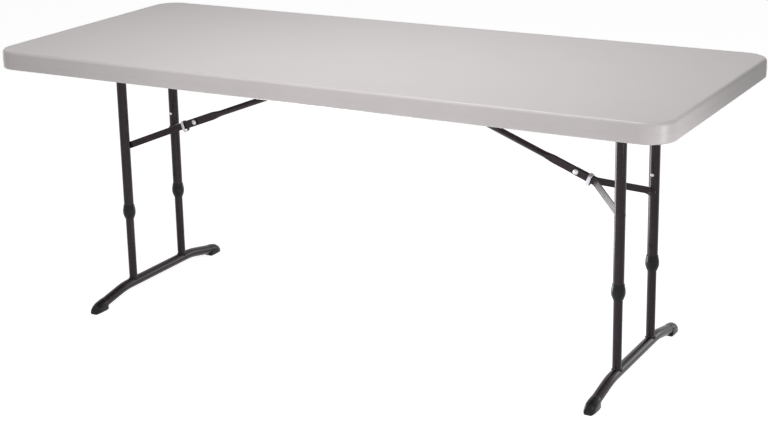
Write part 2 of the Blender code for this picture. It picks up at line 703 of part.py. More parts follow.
def build_brace(side, sx):
    """The folding brace of one leg frame: tube, rivet, links and lock ring."""
    body = f"brace_arm_{side}"
    way = Vector((sx * BRACE_WAY.x, 0, BRACE_WAY.z))
    up = Vector((sx * BRACE_UP.x, 0, BRACE_UP.z))
    pin_at = Vector((sx * BRACE_PIN.x, 0, BRACE_PIN.z))
    rivet_at = pin_at + way * BRACE_LENGTH
    ring_at = rivet_at + way * RING_FROM_RIVET
    add_body(body, pin_at, "table")
    add_body(f"link_pair_{side}", rivet_at, body)
    add_body(f"ring_slide_{side}", ring_at, body)
    brace = add_piece(f"brace_{side}", brace_mesh(f"brace_{side}", way, up), "painted", body, pin_at)
    drill(brace, PIN_RADIUS + RUNNING_GAP, 2 * BRACE_RADIUS, body, pin_at, ALONG_Y)
    drill(brace, RIVET_RADIUS + GAP, FLAT_THICKNESS, body, rivet_at, ALONG_Y)
    grip = STEM_INSIDE + LINK_SHEET + GAP
    name = f"brace_rivet_{side}"
    rivet = riveted_pin(name, RIVET_RADIUS, grip, RIVET_HEAD_RADIUS, RIVET_HEAD_HEIGHT)
    add_piece(name, rivet, "zinc", body, rivet_at, ALONG_Y)
    for end, ey in ENDS.items():
        build_link(side, end, ey, way, up)
    ring = ring_mesh(f"lock_ring_{side}", way, up)
    add_piece(f"lock_ring_{side}", ring, "zinc", f"ring_slide_{side}", ring_at)


clear_scene()
FINISHES = make_materials()
add_body("table")
build_top()
for rail_end, rail_way in ENDS.items():
    build_rail(rail_end, rail_way)
build_bracket()
for frame_side, frame_way in SIDES.items():
    build_leg_frame(frame_side, frame_way)
    build_brace(frame_side, frame_way)
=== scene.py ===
"""Looks of the folding buffet table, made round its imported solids.

Units are metres. Each detailed piece stands where its solid stands, rides the same body
and takes its size from it.
"""
import json
import math

import bmesh
import bpy
from mathutils import Matrix, Vector

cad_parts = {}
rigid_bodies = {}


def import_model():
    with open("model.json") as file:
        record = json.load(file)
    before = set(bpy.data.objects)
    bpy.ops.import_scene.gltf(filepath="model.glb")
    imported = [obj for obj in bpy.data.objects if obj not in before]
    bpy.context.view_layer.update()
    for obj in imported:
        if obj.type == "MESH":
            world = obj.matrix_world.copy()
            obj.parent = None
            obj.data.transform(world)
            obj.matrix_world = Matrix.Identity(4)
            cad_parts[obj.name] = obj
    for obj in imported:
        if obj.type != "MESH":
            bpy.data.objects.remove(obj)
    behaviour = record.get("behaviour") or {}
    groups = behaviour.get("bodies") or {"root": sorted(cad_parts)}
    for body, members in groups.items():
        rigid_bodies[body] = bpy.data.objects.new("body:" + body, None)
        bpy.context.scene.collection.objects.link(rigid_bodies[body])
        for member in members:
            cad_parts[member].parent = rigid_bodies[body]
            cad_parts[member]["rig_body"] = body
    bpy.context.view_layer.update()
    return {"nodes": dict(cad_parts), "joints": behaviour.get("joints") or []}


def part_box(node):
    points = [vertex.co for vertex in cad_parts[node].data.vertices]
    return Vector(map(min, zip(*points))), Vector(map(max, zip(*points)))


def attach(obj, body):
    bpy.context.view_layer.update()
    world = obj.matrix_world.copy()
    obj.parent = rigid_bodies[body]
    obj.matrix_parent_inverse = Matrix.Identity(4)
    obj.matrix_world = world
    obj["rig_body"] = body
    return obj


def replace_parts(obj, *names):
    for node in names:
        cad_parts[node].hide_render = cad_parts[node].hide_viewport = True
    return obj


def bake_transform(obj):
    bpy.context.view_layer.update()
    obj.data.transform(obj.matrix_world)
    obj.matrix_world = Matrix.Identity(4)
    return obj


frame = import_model()

# How round pieces are divided, and how sharp an edge is before it shows
TUBE_SIDES = 40
SMALL_SIDES = 24
CORNER_STEPS = 16
ROUND_STEPS = 6
SMOOTH_ANGLE = math.radians(38)
EDGE_SOFTNESS = 0.0004

# Clearances between pieces that touch, and round what turns
GAP = 0.0003
RUNNING_GAP = 0.0005

# Moulded top
CORNER_RADIUS = 0.065
RIM_WIDTH = 0.020
TOP_EDGE_RADIUS = 0.009
RIM_EDGE_RADIUS = 0.004
RIM_DRAFT = 0.0008
INNER_DRAFT = 0.0020
INNER_FILLET = 0.0025
FLAT_RING = 0.004
PARTING_DEPTH = 0.026
PARTING_HALF = 0.0005
PARTING_STAND = 0.0003

# Kiss-off cups moulded into the underside, and its vent
CUP_COLUMNS = 39
CUP_ROWS = 15
CUP_MARGIN_X = 0.046
CUP_MARGIN_Y = 0.049
CUP_MOUTH = 0.0140
CUP_FLOOR = 0.0085
CUP_DEPTH = 0.0180
CUP_ROUND = 0.0022
CUP_LIP = 0.0030
CUP_SIDES = 16
CUP_STEPS = 2
CUP_CLEAR_OF_BRACKET = 0.020
SAME_PLACE_DIGITS = 5
VENT_AT = Vector((0.300, 0.180))
VENT_RADIUS = 0.004
VENT_DEPTH = 0.012

# Folded sheet
RAIL_SHEET = 0.0015
RAIL_LIP = 0.008
RAIL_BEND = 0.0020
BRACKET_SHEET = 0.002
EAR_INSIDE = 0.00845
PLATE_CORNER = 0.008
EAR_CORNER = 0.009

# Tubes
LEG_WALL = 0.0012
PIVOT_WALL = 0.0015
BRACE_WALL = 0.0012
BUTTON_RADIUS = 0.0045
BUTTON_BELOW_CLIP_TOP = 0.008
WELD_RADIUS = 0.0021
WELD_RIPPLE = 0.16
WELD_RIPPLES = 26
WELD_STEPS = 104
WELD_SIDES = 10
PIVOT_WELD_REACH = 0.0062

# Leg collars
COLLAR_LIP = 0.0010
COLLAR_SHOULDER = 0.014
COLLAR_BELLY = 0.012
COLLAR_ROUND = 0.030

# Arched foot and its caps
FOOT_FLAT = 0.130
FOOT_BEND_RADIUS = 0.250
FOOT_SLOPE = math.radians(11)
FOOT_WALL = 0.0015
CAP_CHAMFER = 0.003
CAP_TOE_LENGTH = 0.024
CAP_TOE_HEIGHT = 0.008
CAP_TOE_WIDTH = 0.017
CAP_TAPER_LENGTH = 0.012
CAP_TAPER = 0.0010
CAP_SOFTNESS = 0.0010
CAP_GROOVE = 0.0012
CAP_GROOVE_PITCH = 0.012
CAP_GROOVES = 3

# Folding brace, links, rivets and lock ring
FLAT_THICKNESS = 0.006
FLAT_ABOVE_RIVET = 0.060
FLAT_BELOW_RIVET = 0.046
FLATTEN_LENGTH = 0.035
FLATTEN_STEPS = 12
BRACE_END_MARGIN = 0.010
BRACE_RADIUS = 0.00795
LINK_BAR = 0.018
LINK_SHEET = 0.003
LINK_STEM = 0.052
LINK_TAB = 0.014
LINK_BEND_RADIUS = 0.010
RIVET_RADIUS = 0.004
PIN_RADIUS = 0.004
RIVET_HEAD_HEIGHT = 0.0026
PIN_HEAD_HEIGHT = 0.0022
HEAD_RIM = 0.0004
RING_SHEET = 0.0024
RING_CORNER_RADIUS = 0.006

# Screws
SCREW_RADIUS = 0.0021
SCREW_HEAD_HEIGHT = 0.0028
CROSS_LENGTH = 0.0056
CROSS_WIDTH = 0.0010
CROSS_DEPTH = 0.0017

# Snap clips
CLIP_WIDTH = 0.008
CLIP_SHEET = 0.0008
CLIP_LENGTH = 0.046
BUTTON_ROUND = 0.002

# Colours, as linear light
PUTTY = (0.612, 0.573, 0.573)
PUTTY_DEEP = (0.571, 0.533, 0.533)
CHARCOAL = (0.0240, 0.0150, 0.0195)
CHARCOAL_WORN = (0.0360, 0.0245, 0.0310)
ZINC = (0.640, 0.640, 0.665)
ZINC_DULL = (0.520, 0.520, 0.540)
BLACK = (0.0120, 0.0118, 0.0122)
BLACK_DUSTY = (0.0200, 0.0196, 0.0200)
SPRING = (0.560, 0.555, 0.560)
SPRING_DULL = (0.430, 0.428, 0.435)

# Camera, which stands where the photograph was taken from
CAMERA_AT = Vector((2.0088, -3.5146, 1.5951))
CAMERA_AIM = Vector((0.0946, -0.1164, 0.5107))
CAMERA_ROLL = math.radians(-1.1319)
CAMERA_LENS = 77.049
CAMERA_SHIFT = -0.0807
CAMERA_SENSOR = 36.0

# Studio
FLOOR_SIZE = 30.0
FLOOR_DROP = 0.0003
FLOOR_COLOUR = (0.60, 0.60, 0.60)
FLOOR_GLOW = 0.86
AMBIENT = 0.185
FOOT_LAMP_SPREAD = math.radians(55)

SIDES = {"right": 1, "left": -1}
ENDS = {"front": -1, "rear": 1}
CORNERS = ((1, 1), (-1, 1), (-1, -1), (1, -1))
JOINTS = {joint["name"]: joint for joint in frame["joints"]}
TOP_LOW, TOP_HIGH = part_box("table_top")
PANEL_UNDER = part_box("side_rail_front")[1].z + GAP
X_AXIS, Y_AXIS, Z_AXIS = Vector((1, 0, 0)), Vector((0, 1, 0)), Vector((0, 0, 1))


def finish_mesh(name, bm):
    """Turns the faces out and smooths all but the sharp edges."""
    bmesh.ops.recalc_face_normals(bm, faces=bm.faces)
    mesh = bpy.data.meshes.new(name)
    bm.to_mesh(mesh)
    bm.free()
    return smoothed(mesh)


def smoothed(mesh):
    """Smooths all but a mesh's sharp edges."""
    mesh.shade_smooth()
    mesh.set_sharp_from_angle(angle=SMOOTH_ANGLE)
    return mesh


def soften(bm, width=EDGE_SOFTNESS):
    """Rounds every edge that would show as sharp."""
    bmesh.ops.recalc_face_normals(bm, faces=bm.faces)
    sharp = [edge for edge in bm.edges if edge.is_manifold and edge.calc_face_angle() > SMOOTH_ANGLE]
    bmesh.ops.bevel(
        bm, geom=sharp, offset=width, segments=2, profile=0.5, affect="EDGES", clamp_overlap=True)


def loft(bm, loops, cyclic=False, capped=True):
    """Joins loops of points with faces, closed at the ends or in a ring. Returns the rows of points."""
    rows = [[bm.verts.new(point) for point in loop] for loop in loops]
    pairs = list(zip(rows, rows[1:]))
    if cyclic:
        pairs.append((rows[-1], rows[0]))
    elif capped:
        bm.faces.new(rows[0])
        bm.faces.new(rows[-1])
    for low, high in pairs:
        for k, corner in enumerate(low):
            after = (k + 1) % len(low)
            bm.faces.new((corner, low[after], high[after], high[k]))
    return rows


def lofted(name, loops, cyclic=False, softness=0):
    """A mesh of one loft, with its sharp edges rounded if it has a softness."""
    bm = bmesh.new()
    loft(bm, loops, cyclic)
    if softness:
        soften(bm, softness)
    return finish_mesh(name, bm)


def spaced_turns(angle, steps, with_last=False):
    """Even turns from nothing to an angle, with the last one or without it."""
    count = steps + 1 if with_last else steps
    return [angle * k / steps for k in range(count)]


def circle(radius, sides, at=(0, 0, 0), across=X_AXIS, up=Y_AXIS):
    """Points round a circle in the plane of two directions."""
    turns = spaced_turns(2 * math.pi, sides)
    return [Vector(at) + across * (radius * math.cos(a)) + up * (radius * math.sin(a)) for a in turns]


def turned(name, profile, sides=SMALL_SIDES, cyclic=False):
    """A mesh turned round Z from pairs of radius and height."""
    return lofted(name, [circle(r, sides, (0, 0, z)) for r, z in profile], cyclic)


def rounded(points, radius, steps):
    """An open line through points, with its inner corners drawn as arcs of a radius."""
    points = [Vector(point) for point in points]
    line = [points[0]]
    for before, corner, after in zip(points, points[1:], points[2:]):
        back, on = (before - corner).normalized(), (after - corner).normalized()
        half = back.angle(on) / 2
        reach = radius / math.tan(half)
        centre = corner + (back + on).normalized() * (radius / math.sin(half))
        start, end = corner + back * reach - centre, corner + on * reach - centre
        line += [centre + start.slerp(end, k / steps) * radius for k in range(steps + 1)]
    return line + [points[-1]]


def rounded_rectangle(half_x, half_y, radius, steps):
    """Points round a rectangle with round corners."""
    points = []
    for quarter, (sx, sy) in enumerate(CORNERS):
        for step in range(steps + 1):
            a = math.pi / 2 * (quarter + step / steps)
            x = sx * (half_x - radius) + radius * math.cos(a)
            y = sy * (half_y - radius) + radius * math.sin(a)
            points.append(Vector((x, y)))
    return points


def steps_across(line, distance):
    """At each point of a flat line, a step of a distance straight across it."""
    steps = []
    for k in range(len(line)):
        run = line[min(k + 1, len(line) - 1)] - line[max(k - 1, 0)]
        steps.append(Vector((-run.y, run.x)).normalized() * distance)
    return steps


def tube(name, radius, wall, low, high):
    """A mesh of an open tube along Z, with its end edges softened."""
    bore, soft = radius - wall, EDGE_SOFTNESS
    outside = [(radius - soft, low), (radius, low + soft), (radius, high - soft), (radius - soft, high)]
    inside = [(bore + soft, high), (bore, high - soft), (bore, low + soft), (bore + soft, low)]
    return turned(name, outside + inside, TUBE_SIDES, cyclic=True)


def rods(name, places):
    """Round rods in one mesh, each from its middle, its direction, its radius and half its length."""
    bm = bmesh.new()
    for at, way, radius, half in places:
        across = way.orthogonal().normalized()
        up = way.cross(across)
        loft(bm, [circle(radius, SMALL_SIDES, at + way * end, across, up) for end in (-half, half)])
    return finish_mesh(name, bm)


def combined(mesh, tool, operation="DIFFERENCE"):
    """A mesh with another cut from it, or joined to it."""
    piece = bpy.data.objects.new("combine_piece", mesh)
    helper = bpy.data.objects.new("combine_tool", tool)
    for made in (piece, helper):
        bpy.context.scene.collection.objects.link(made)
    modifier = piece.modifiers.new("Combine", "BOOLEAN")
    modifier.operation = operation
    modifier.object = helper
    result = bpy.data.meshes.new_from_object(piece.evaluated_get(bpy.context.evaluated_depsgraph_get()))
    for made in (piece, helper):
        bpy.data.objects.remove(made, do_unlink=True)
    result.name = mesh.name
    return smoothed(result)


def add_piece(name, mesh, finish, beside, at=(0, 0, 0), turn=(0, 0, 0), bend=None):
    """A piece on the body that carries a solid, or on no body when given a bend, with a finish."""
    piece = bpy.data.objects.new(name, mesh)
    bpy.context.scene.collection.objects.link(piece)
    piece.location = at
    piece.rotation_euler = turn
    if not mesh.materials:
        mesh.materials.append(FINISHES[finish])
    normals = piece.modifiers.new("Weighted normals", "WEIGHTED_NORMAL")
    normals.keep_sharp = True
    body = frame["nodes"][beside]["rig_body"]
    if bend:
        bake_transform(piece)
    else:
        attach(piece, body)
    return piece


def stand_for(node, mesh, finish, at=(0, 0, 0), turn=(0, 0, 0), bend=None):
    """A detailed piece that stands for a solid."""
    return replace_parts(add_piece(f"{node}_detailed", mesh, finish, node, at, turn, bend), node)


def make_material(name, metallic, specular):
    """A new Principled material. Returns it with its shader and the piece's own coordinates."""
    material = bpy.data.materials.new(name)
    material.use_nodes = True
    nodes = material.node_tree.nodes
    shader = nodes["Principled BSDF"]
    shader.inputs["Metallic"].default_value = metallic
    shader.inputs["Specular IOR Level"].default_value = specular
    coordinate = nodes.new("ShaderNodeTexCoord")
    return material, shader, coordinate.outputs["Object"]


def add_noise(material, coordinate, scale, detail, stretch=(1, 1, 1)):
    """A noise texture's factor, drawn finer along an axis by a stretch over 1."""
    nodes, links = material.node_tree.nodes, material.node_tree.links
    mapping = nodes.new("ShaderNodeMapping")
    mapping.inputs["Scale"].default_value = stretch
    noise = nodes.new("ShaderNodeTexNoise")
    noise.inputs["Scale"].default_value = scale
    noise.inputs["Detail"].default_value = detail
    links.new(coordinate, mapping.inputs["Vector"])
    links.new(mapping.outputs["Vector"], noise.inputs["Vector"])
    return noise.outputs["Fac"]


def add_cells(material, coordinate, scale, output="Distance"):
    """A cell texture's distance or colour."""
    cells = material.node_tree.nodes.new("ShaderNodeTexVoronoi")
    cells.inputs["Scale"].default_value = scale
    material.node_tree.links.new(coordinate, cells.inputs["Vector"])
    return cells.outputs[output]


def add_range(material, value, low=0.0, high=1.0, start=0.3, stop=0.7):
    """A value's stretch from start to stop, spread from low to high."""
    spread = material.node_tree.nodes.new("ShaderNodeMapRange")
    spread.inputs["From Min"].default_value = start
    spread.inputs["From Max"].default_value = stop
    spread.inputs["To Min"].default_value = low
    spread.inputs["To Max"].default_value = high
    material.node_tree.links.new(value, spread.inputs["Value"])
    return spread.outputs["Result"]


def add_mix(material, factor, first, second):
    """A colour between two others."""
    mix = material.node_tree.nodes.new("ShaderNodeMix")
    mix.data_type = "RGBA"
    mix.inputs["A"].default_value = (*first, 1)
    mix.inputs["B"].default_value = (*second, 1)
    material.node_tree.links.new(factor, mix.inputs["Factor"])
    return mix.outputs["Result"]


def add_sum(material, first, second, share):
    """One value plus a share of another."""
    total = material.node_tree.nodes.new("ShaderNodeMath")
    total.operation = "MULTIPLY_ADD"
    total.inputs[1].default_value = share
    material.node_tree.links.new(second, total.inputs[0])
    material.node_tree.links.new(first, total.inputs[2])
    return total.outputs["Value"]


def add_bump(material, shader, height, strength, distance):
    """A fine relief on the shader's normal."""
    bump = material.node_tree.nodes.new("ShaderNodeBump")
    bump.inputs["Strength"].default_value = strength
    bump.inputs["Distance"].default_value = distance
    material.node_tree.links.new(height, bump.inputs["Height"])
    material.node_tree.links.new(bump.outputs["Normal"], shader.inputs["Normal"])


def moulded_plastic():
    """Pale putty plastic with a leathery grain, faint clouding and an uneven sheen."""
    material, shader, place = make_material("moulded_plastic_look", metallic=0.0, specular=0.45)
    links = material.node_tree.links
    cloud = add_noise(material, place, scale=5.0, detail=3.0)
    speckle = add_noise(material, place, scale=260.0, detail=2.0)
    tone = add_range(material, add_sum(material, cloud, speckle, share=0.25), start=0.40, stop=0.85)
    links.new(add_mix(material, tone, PUTTY_DEEP, PUTTY), shader.inputs["Base Color"])
    links.new(add_range(material, cloud, low=0.38, high=0.47), shader.inputs["Roughness"])
    grain = add_cells(material, place, scale=420.0)
    pores = add_noise(material, place, scale=900.0, detail=3.0)
    add_bump(material, shader, add_sum(material, grain, pores, share=0.6), strength=0.22, distance=0.0003)
    return material


def painted_steel():
    """Charcoal baked paint with a fine orange peel, rubbed a little lighter in places."""
    material, shader, place = make_material("painted_steel_look", metallic=0.0, specular=0.22)
    links = material.node_tree.links
    rub = add_noise(material, place, scale=38.0, detail=5.0)
    worn = add_range(material, rub, start=0.52, stop=0.80)
    links.new(add_mix(material, worn, CHARCOAL, CHARCOAL_WORN), shader.inputs["Base Color"])
    links.new(add_range(material, rub, low=0.17, high=0.26), shader.inputs["Roughness"])
    peel = add_noise(material, place, scale=620.0, detail=2.0)
    add_bump(material, shader, peel, strength=0.05, distance=0.0002)
    return material


def zinc_plate():
    """Bright zinc plating with a faint spangle and rolling marks along the metal."""
    material, shader, place = make_material("zinc_plate_look", metallic=1.0, specular=0.5)
    links = material.node_tree.links
    spangle = add_cells(material, place, scale=330.0, output="Color")
    streak = add_noise(material, place, scale=90.0, detail=4.0, stretch=(1, 9, 4))
    tone = add_range(material, add_sum(material, streak, spangle, share=0.3), start=0.35, stop=0.95)
    links.new(add_mix(material, tone, ZINC_DULL, ZINC), shader.inputs["Base Color"])
    links.new(add_range(material, streak, low=0.26, high=0.40), shader.inputs["Roughness"])
    add_bump(material, shader, streak, strength=0.10, distance=0.0002)
    return material


def black_plastic():
    """Black plastic with a fine moulded grain and a trace of dust."""
    material, shader, place = make_material("black_plastic_look", metallic=0.0, specular=0.2)
    links = material.node_tree.links
    dust = add_range(material, add_noise(material, place, scale=55.0, detail=4.0), start=0.50, stop=0.78)
    links.new(add_mix(material, dust, BLACK, BLACK_DUSTY), shader.inputs["Base Color"])
    sheen = add_range(material, dust, low=0.20, high=0.34, start=0.0, stop=1.0)
    links.new(sheen, shader.inputs["Roughness"])
    add_bump(material, shader, add_cells(material, place, scale=900.0), strength=0.12, distance=0.0002)
    return material


def spring_steel():
    """Bright spring steel with fine drawn lines."""
    material, shader, place = make_material("spring_steel_look", metallic=1.0, specular=0.5)
    links = material.node_tree.links
    lines = add_noise(material, place, scale=240.0, detail=4.0, stretch=(6, 6, 1))
    tone = add_range(material, lines)
    links.new(add_mix(material, tone, SPRING_DULL, SPRING), shader.inputs["Base Color"])
    links.new(add_range(material, lines, low=0.18, high=0.32), shader.inputs["Roughness"])
    add_bump(material, shader, lines, strength=0.08, distance=0.0001)
    return material


def top_outline(inset, z):
    """The top's outline, drawn in by an inset, at a height."""
    outline = rounded_rectangle(
        TOP_HIGH.x - inset, TOP_HIGH.y - inset, CORNER_RADIUS - inset, CORNER_STEPS)
    return [Vector((x, y, z)) for x, y in outline]


def rim_section():
    """The rim's section as pairs of inset and height, over the top edge, down the outside and up inside."""
    high, low = TOP_HIGH.z, TOP_LOW.z
    parting = high - PARTING_DEPTH
    above, below = (PARTING_STAND, parting + PARTING_HALF), (PARTING_STAND, parting - PARTING_HALF)
    upper = rounded([(TOP_EDGE_RADIUS + FLAT_RING, high), (RIM_DRAFT, high), above],
                    TOP_EDGE_RADIUS - RIM_DRAFT, ROUND_STEPS)
    ridge = [(0, parting + PARTING_HALF / 2), (0, parting - PARTING_HALF / 2)]
    wall = RIM_WIDTH + INNER_DRAFT
    lower = rounded([below, (RIM_DRAFT, low), (RIM_WIDTH, low), (wall, PANEL_UNDER)],
                    RIM_EDGE_RADIUS, ROUND_STEPS)
    inner = rounded([lower[-2], (wall, PANEL_UNDER), (wall + 2 * INNER_FILLET, PANEL_UNDER)],
                    INNER_FILLET, ROUND_STEPS)
    return [tuple(point) for point in upper] + ridge + [tuple(point) for point in lower[:-2] + inner]


def cup_profile(mouth, floor, depth, soft):
    """Pairs of radius and rise from the underside, over a cup's lip and up its wall to its floor."""
    line = rounded([(mouth + CUP_LIP, 0), (mouth, 0), (floor, depth), (0, depth)], soft, CUP_STEPS)
    return line[:-1]


def cell_profile(x, y, half_x, half_y):
    """The cup drawn into one cell of the underside and its middle, or nothing where the cell is plain."""
    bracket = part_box("centre_bracket")[1]
    if abs(VENT_AT.x - x) < half_x and abs(VENT_AT.y - y) < half_y:
        return cup_profile(VENT_RADIUS, VENT_RADIUS, VENT_DEPTH, EDGE_SOFTNESS), VENT_AT
    under_bracket = abs(x) < bracket.x + CUP_CLEAR_OF_BRACKET and abs(y) < bracket.y + CUP_CLEAR_OF_BRACKET
    odd = round(x / half_x / 2) + round(y / half_y / 2)
    if under_bracket or odd % 2:
        return None, None
    return cup_profile(CUP_MOUTH, CUP_FLOOR, CUP_DEPTH, CUP_ROUND), Vector((x, y))


def underside_cells(bm):
    """Cells across the underside, every other one cupped, in an empty bm. Returns the edges round all."""
    half_x = (TOP_HIGH.x - CUP_MARGIN_X) / CUP_COLUMNS
    half_y = (TOP_HIGH.y - CUP_MARGIN_Y) / CUP_ROWS
    ways = [way.xy for way in circle(1, CUP_SIDES)]
    shared = {}
    for column in range(CUP_COLUMNS):
        for row in range(CUP_ROWS):
            x = (2 * column + 1 - CUP_COLUMNS) * half_x
            y = (2 * row + 1 - CUP_ROWS) * half_y
            border = []
            for way in ways:
                square = way / max(abs(way.x), abs(way.y))
                place = Vector((x + square.x * half_x, y + square.y * half_y, PANEL_UNDER))
                key = (round(place.x, SAME_PLACE_DIGITS), round(place.y, SAME_PLACE_DIGITS))
                if key not in shared:
                    shared[key] = bm.verts.new(place)
                border.append(shared[key])
            profile, middle = cell_profile(x, y, half_x, half_y)
            fill_cell(bm, border, ways, profile, middle)
    return [edge for edge in bm.edges if edge.is_boundary]


def fill_cell(bm, border, ways, profile, middle):
    """Fills one cell's border, plain or with rings down a cup."""
    last = border
    for radius, rise in profile or ():
        ring = [bm.verts.new((middle.x + way.x * radius, middle.y + way.y * radius, PANEL_UNDER + rise))
                for way in ways]
        for k in range(CUP_SIDES):
            after = (k + 1) % CUP_SIDES
            bm.faces.new((last[k], last[after], ring[after], ring[k]))
        last = ring
    bm.faces.new(last)


def dress_top():
    """The moulded top: its smooth surface, its rim, and the cupped underside."""
    bm = bmesh.new()
    cells = underside_cells(bm)
    rows = loft(bm, [top_outline(inset, z) for inset, z in rim_section()], capped=False)
    bm.faces.new(rows[0])
    border = [bm.edges.get((rows[-1][k - 1], rows[-1][k])) for k in range(len(rows[-1]))]
    bmesh.ops.triangle_fill(bm, use_beauty=True, edges=cells + border)
    stand_for("table_top", finish_mesh("table_top_detailed", bm), "moulded_plastic")


def sheet_section(route, sheet, bend):
    """The outline of a folded sheet whose middle follows a route with round bends."""
    middle = rounded(route, bend, ROUND_STEPS)
    across = steps_across(middle, sheet / 2)
    left = [place + step for place, step in zip(middle, across)]
    right = [place - step for place, step in zip(middle, across)]
    return left + right[::-1]


def dress_rail(end, ey):
    """A side rail: folded sheet with a screw flange above, a lip below and the cross tubes' holes."""
    node = f"side_rail_{end}"
    low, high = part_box(node)
    inner, outer = sorted((abs(low.y), abs(high.y)))
    half = RAIL_SHEET / 2
    route = [(outer, high.z - half), (inner + half, high.z - half), (inner + half, low.z + half),
             (inner + RAIL_LIP, low.z + half)]
    section = sheet_section(route, RAIL_SHEET, RAIL_BEND)
    mesh = lofted(node, [[Vector((x, ey * y, z)) for y, z in section] for x in (low.x, high.x)])
    holes = []
    for side in SIDES:
        pivot = Vector(JOINTS[f"leg_fold_{side}"]["pos_m"])
        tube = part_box(f"pivot_tube_{side}")
        radius = (tube[1].z - tube[0].z) / 2 + RUNNING_GAP
        holes.append((pivot + Y_AXIS * (ey * inner), Y_AXIS, radius, RAIL_LIP / 2))
    stand_for(node, combined(mesh, rods(f"{node}_holes", holes)), "painted_steel")


def dress_bracket():
    """The centre bracket: a plate with round corners and two hanging ears."""
    low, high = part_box("centre_bracket")
    bm = bmesh.new()
    plate = rounded_rectangle(high.x, high.y, PLATE_CORNER, ROUND_STEPS)
    loft(bm, [[Vector((x, y, z)) for x, y in plate] for z in (high.z - BRACKET_SHEET, high.z)])
    soften(bm)
    mesh = finish_mesh("centre_bracket_detailed", bm)
    root = high.z - BRACKET_SHEET / 2
    middle = (root + low.z) / 2 + EAR_CORNER / 2
    for ey in ENDS.values():
        ear = rounded_rectangle(high.x, middle - low.z, EAR_CORNER, ROUND_STEPS)
        outline = [(x, min(middle + z, root)) for x, z in ear]
        walls = (ey * EAR_INSIDE, ey * (EAR_INSIDE + BRACKET_SHEET))
        tool = lofted("ear", [[Vector((x, y, z)) for x, z in outline] for y in walls], softness=EDGE_SOFTNESS)
        mesh = combined(mesh, tool, "UNION")
    holes = []
    for side in SIDES:
        pin = Vector(JOINTS[f"brace_swing_{side}"]["pos_m"])
        holes.append((pin, Y_AXIS, PIN_RADIUS + GAP, 2 * EAR_INSIDE))
    for node in frame["nodes"]:
        if node.startswith("bracket_screw"):
            screw = sum(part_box(node), Vector()) / 2
            holes.append((Vector((screw.x, screw.y, high.z)), Z_AXIS, SCREW_RADIUS + GAP, 2 * BRACKET_SHEET))
    stand_for("centre_bracket", combined(mesh, rods("bracket_holes", holes)), "painted_steel")


def head_profile(radius, height, seat):
    """Pairs of radius and height from a round head's crown down to its seat, head downwards."""
    turns = spaced_turns(math.pi / 2, ROUND_STEPS)
    dome = [(radius * math.cos(a), seat - HEAD_RIM - (height - HEAD_RIM) * math.sin(a)) for a in turns]
    return dome[::-1] + [(radius, seat)]


def dress_screws():
    """Pan-head screws with a cross recess."""
    for node in frame["nodes"]:
        if not node.startswith(("rail_screw", "bracket_screw")):
            continue
        low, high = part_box(node)
        middle = (low + high) / 2
        seat = SCREW_HEAD_HEIGHT
        head = head_profile((high.x - low.x) / 2, SCREW_HEAD_HEIGHT, seat)
        length = high.z - low.z
        shank = [(SCREW_RADIUS, seat), (SCREW_RADIUS, length - 2 * SCREW_RADIUS), (GAP, length)]
        mesh = turned(node, head + shank)
        for half_x, half_y in ((CROSS_LENGTH / 2, CROSS_WIDTH / 2), (CROSS_WIDTH / 2, CROSS_LENGTH / 2)):
            slot = [Vector((sx * half_x, sy * half_y, 0)) for sx, sy in CORNERS]
            shifts = (Z_AXIS * -CROSS_DEPTH, Z_AXIS * CROSS_DEPTH)
            mesh = combined(mesh, lofted("slot", [[point + shift for point in slot] for shift in shifts]))
        stand_for(node, mesh, "zinc_plate", (middle.x, middle.y, low.z))


def riveted_pin(node, radius, head_height):
    """A pin along Y with a round head on each end."""
    low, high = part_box(node)
    head_radius = (high.x - low.x) / 2
    grip = (high.y - low.y) / 2 - head_height
    under = head_profile(head_radius, head_height, -grip)
    mesh = turned(node, under + [(radius, -grip), (radius, grip)] + [(r, -z) for r, z in reversed(under)])
    stand_for(node, mesh, "zinc_plate", (low + high) / 2, (math.pi / 2, 0, 0))


def weld_bead(name, points, beside):
    """A rippled bead of weld along a closed line."""
    middle = sum(points, Vector()) / len(points)
    rings = []
    for k, place in enumerate(points):
        way = (points[(k + 1) % len(points)] - points[k - 1]).normalized()
        out = place - middle
        across = (out - way * out.dot(way)).normalized()
        swell = 1 + WELD_RIPPLE * math.sin(2 * math.pi * WELD_RIPPLES * k / len(points))
        rings.append(circle(WELD_RADIUS * swell, WELD_SIDES, place, across, way.cross(across)))
    add_piece(name, lofted(name, rings, cyclic=True), "painted_steel", beside)


def dress_leg_frame(side, sx):
    """One folding frame: its cross tube and upper legs with their collars, welded where they meet."""
    node = f"pivot_tube_{side}"
    low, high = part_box(node)
    pivot = (low + high) / 2
    pivot_radius = (high.z - low.z) / 2
    half = (high.y - low.y) / 2
    mesh = tube(node, pivot_radius, PIVOT_WALL, -half, half)
    stand_for(node, mesh, "painted_steel", pivot, (math.pi / 2, 0, 0))
    for end, ey in ENDS.items():
        leg_at, leg_radius = dress_upper_leg(side, end, ey)
        points = []
        for a in spaced_turns(2 * math.pi, WELD_STEPS):
            y, z = PIVOT_WELD_REACH * math.cos(a), PIVOT_WELD_REACH * math.sin(a)
            on_leg = abs(leg_at.x) - math.sqrt(leg_radius**2 - y**2)
            on_tube = abs(pivot.x) + math.sqrt(pivot_radius**2 - z**2)
            points.append(Vector((sx * (on_leg + on_tube) / 2, leg_at.y + y, pivot.z + z)))
        weld_bead(f"pivot_weld_{end}_{side}", points, node)


def button_height(side, end):
    """The height of a snap clip's button."""
    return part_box(f"snap_clip_{end}_{side}")[1].z - BUTTON_BELOW_CLIP_TOP


def button_hole(ey, radius, height):
    """The rod that cuts a button's hole in a leg of a radius, on the side that faces the other leg."""
    return Vector((0, -ey * radius, height)), Y_AXIS, BUTTON_RADIUS + RUNNING_GAP, radius / 2


